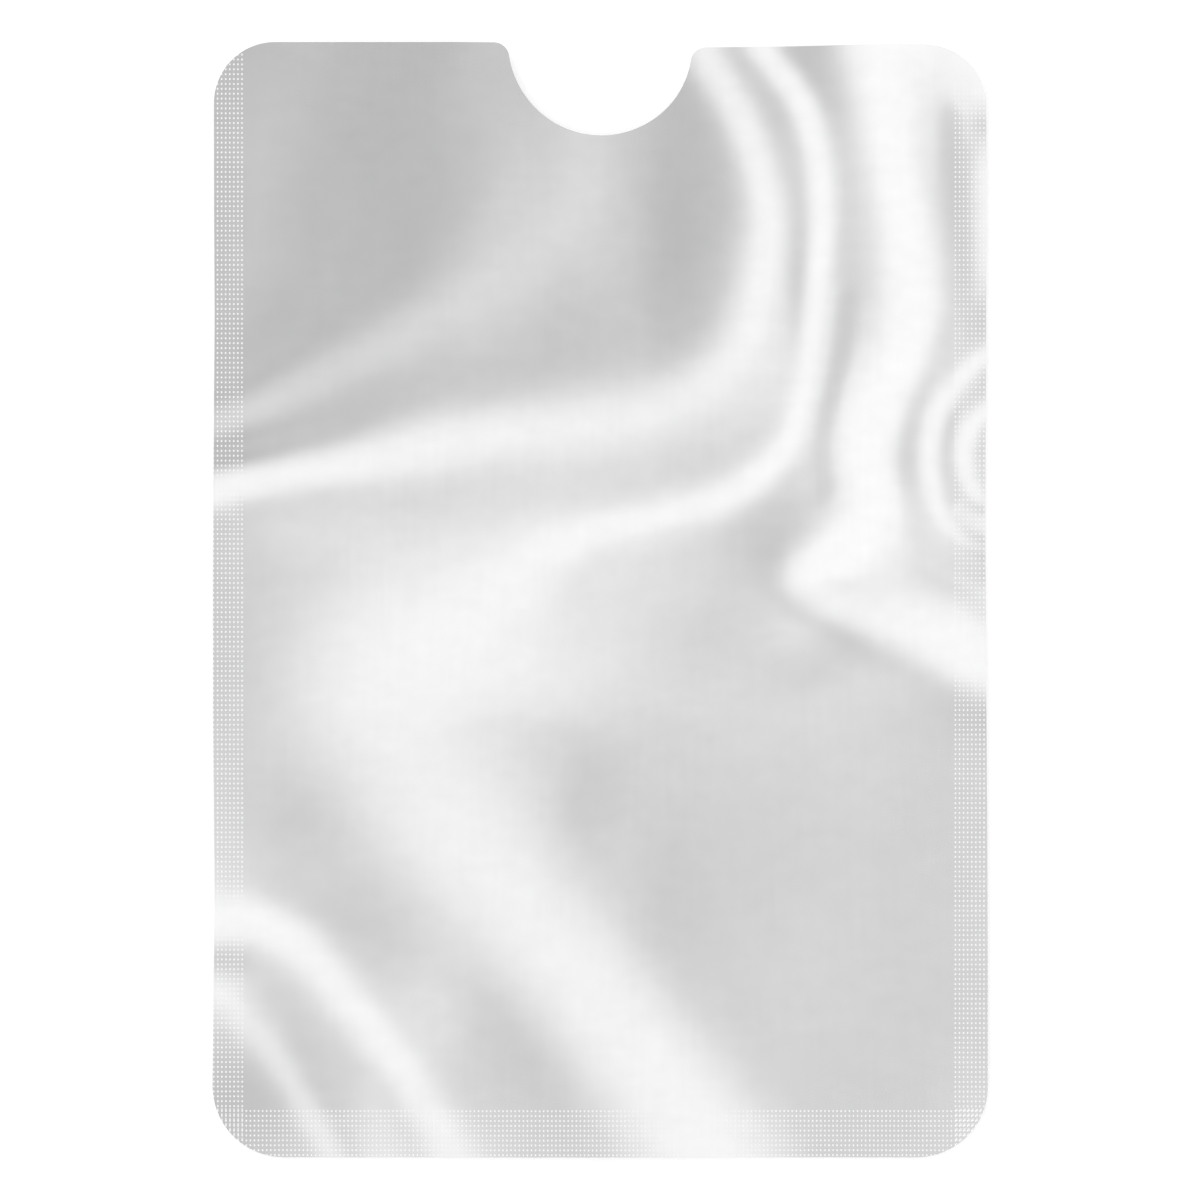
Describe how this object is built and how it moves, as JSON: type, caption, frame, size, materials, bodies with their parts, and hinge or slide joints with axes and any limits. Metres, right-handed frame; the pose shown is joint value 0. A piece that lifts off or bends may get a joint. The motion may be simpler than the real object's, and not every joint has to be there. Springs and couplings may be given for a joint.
{
  "type": "rfid card sleeve",
  "caption": "Flat silver foil-laminate pouch that shields a bank card from radio readers, heat-sealed round its edge and open at one end with a thumb notch.",
  "frame": {"origin": "middle of the sleeve's outline, on the plane that its back wall lies on", "axes": "+X across the sleeve, +Y along it towards the open mouth, +Z out of the front wall"},
  "size_m": [0.063, 0.091, 0.0019],
  "materials": {
    "silver_face_film": "satin metallised film, with fine embossed dots in the sealed margins",
    "shield_foil": "bright rolled foil",
    "seal_liner": "thin satin polyethylene over the foil, so it looks grey",
    "fused_seal": "melted polyethylene, seen only as a line at the cut edge"
  },
  "bodies": {
    "root": {"back_face_film": "silver_face_film", "back_shield_foil": "shield_foil", "back_seal_liner": "seal_liner", "left_seal_band": "fused_seal", "right_seal_band": "fused_seal", "end_seal_band": "fused_seal", "front_seal_liner": "seal_liner", "front_shield_foil": "shield_foil", "front_face_film": "silver_face_film"}
  },
  "joints": []
}
